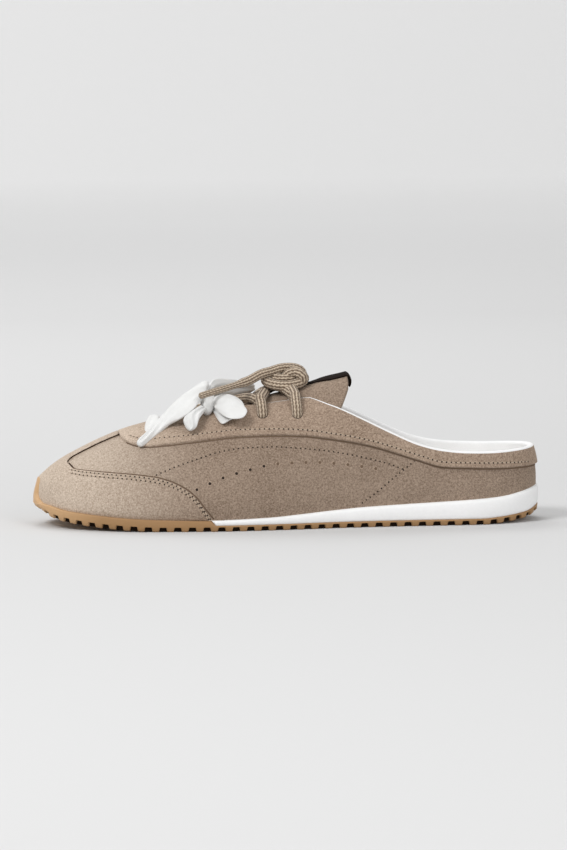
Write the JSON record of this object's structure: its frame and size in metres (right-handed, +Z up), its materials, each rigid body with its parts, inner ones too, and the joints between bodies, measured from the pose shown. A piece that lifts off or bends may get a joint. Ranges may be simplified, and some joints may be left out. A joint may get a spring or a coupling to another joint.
{
  "type": "sneaker mule",
  "caption": "Low laced suede sneaker mule, left foot, with a gum sole, a white wedge midsole and a low open collar.",
  "frame": {"origin": "under the middle of the sole's length and of its width, on the floor", "axes": "+X from toe to heel, +Y from the lateral to the medial side, +Z up"},
  "size_m": [0.266, 0.09, 0.0849],
  "materials": {
    "suede": "taupe suede",
    "gum": "matt gum rubber",
    "foam": "white moulded foam",
    "lining": "white lining",
    "label": "dark blank label",
    "lace": "taupe braided lace",
    "ribbon": "soft white ribbon"
  },
  "bodies": {
    "root": {"outsole": "gum", "midsole": "foam", "upper": "suede", "toe_cap": "suede", "eyestay_band": "suede", "tongue": "suede", "tongue_label": "label", "insole": "lining", "lace_crossings": "lace", "lace_knot": "lace", "lace_end": "lace", "ribbon_knot": "ribbon", "ribbon_tail": "ribbon", "ribbon_near_loop": "ribbon", "ribbon_far_loop": "ribbon", "ribbon_short_tail": "ribbon", "ribbon_far_tail": "ribbon"}
  },
  "joints": []
}
